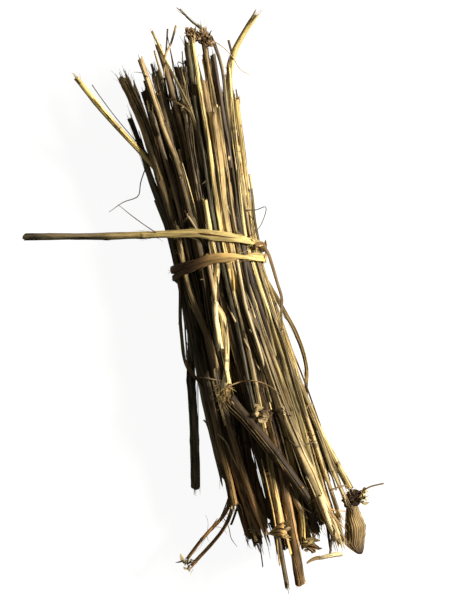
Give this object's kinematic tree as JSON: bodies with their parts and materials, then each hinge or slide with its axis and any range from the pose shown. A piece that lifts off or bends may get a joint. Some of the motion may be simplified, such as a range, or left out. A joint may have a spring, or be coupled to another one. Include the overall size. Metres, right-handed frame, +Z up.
{
  "type": "smudge stick",
  "caption": "Dried herb stalks lying in a loose bundle, bound at the waist by one split stalk that is wound round twice and hitched, for burning as a smudge stick.",
  "frame": {"origin": "on the table under the middle of the whole object's box", "axes": "+Y along the bundle from the cut butts to the tips, +X to the right as seen from above with the tips up, +Z up from the table"},
  "size_m": [0.1286, 0.2452, 0.0363],
  "materials": {
    "stalk_grey": "dry, ridged grey-olive bark",
    "stalk_straw": "dry, satin straw",
    "stalk_brown": "dry, ridged brown bark",
    "binding": "split stalk, satin straw to brown",
    "leaf": "dry, matt brown leaf with fine veins",
    "seed": "dry, papery bracts"
  },
  "bodies": {
    "root": {"left_stray_stalk": "stalk_straw", "left_thick_stalk": "stalk_brown", "left_straight_stalk": "stalk_grey", "left_edge_stalk": "stalk_grey", "left_loose_stalk": "stalk_grey", "dark_tip_stalk": "stalk_brown", "thick_dark_stalk": "stalk_grey", "bright_tip_stalk": "stalk_straw", "frayed_tip_stalk": "stalk_brown", "long_butt_stalk": "stalk_brown", "purple_brown_stalk": "stalk_brown", "right_pale_stalk": "stalk_straw", "right_bent_stalk": "stalk_straw", "right_edge_stalk": "stalk_straw", "thin_dark_stalk": "stalk_grey", "crossing_thin_stalk": "stalk_straw", "crown_stalk": "stalk_brown", "crown_left_shoot": "stalk_brown", "split_strip_outer": "stalk_brown", "split_strip_inner": "stalk_brown", "right_bow_twig": "stalk_grey", "left_bow_twig": "stalk_grey", "right_fan_stalk_1": "stalk_straw", "right_fan_stalk_2": "stalk_straw", "right_fan_stalk_3": "stalk_straw", "tip_cross_twig": "stalk_grey", "bed_stalk_1": "stalk_grey", "bed_stalk_2": "stalk_brown", "bed_stalk_3": "stalk_straw", "bed_stalk_4": "stalk_grey", "core_stalk_01": "stalk_grey", "core_stalk_02": "stalk_straw", "core_stalk_03": "stalk_brown", "core_stalk_04": "stalk_grey", "core_stalk_05": "stalk_straw", "core_stalk_06": "stalk_brown", "core_stalk_07": "stalk_grey", "core_stalk_08": "stalk_straw", "core_stalk_09": "stalk_brown", "core_stalk_10": "stalk_grey", "core_stalk_11": "stalk_straw", "core_stalk_12": "stalk_brown", "core_stalk_13": "stalk_grey", "core_stalk_14": "stalk_straw", "core_stalk_15": "stalk_brown", "core_stalk_16": "stalk_grey", "core_stalk_17": "stalk_straw", "core_stalk_18": "stalk_brown", "core_stalk_19": "stalk_grey", "core_stalk_20": "stalk_straw", "core_stalk_21": "stalk_brown", "core_stalk_22": "stalk_grey", "core_stalk_23": "stalk_straw", "core_stalk_24": "stalk_brown", "core_stalk_25": "stalk_grey", "core_stalk_26": "stalk_straw", "binding": "binding", "dry_leaf": "leaf", "seed_head": "seed", "bud": "seed"}
  },
  "joints": []
}
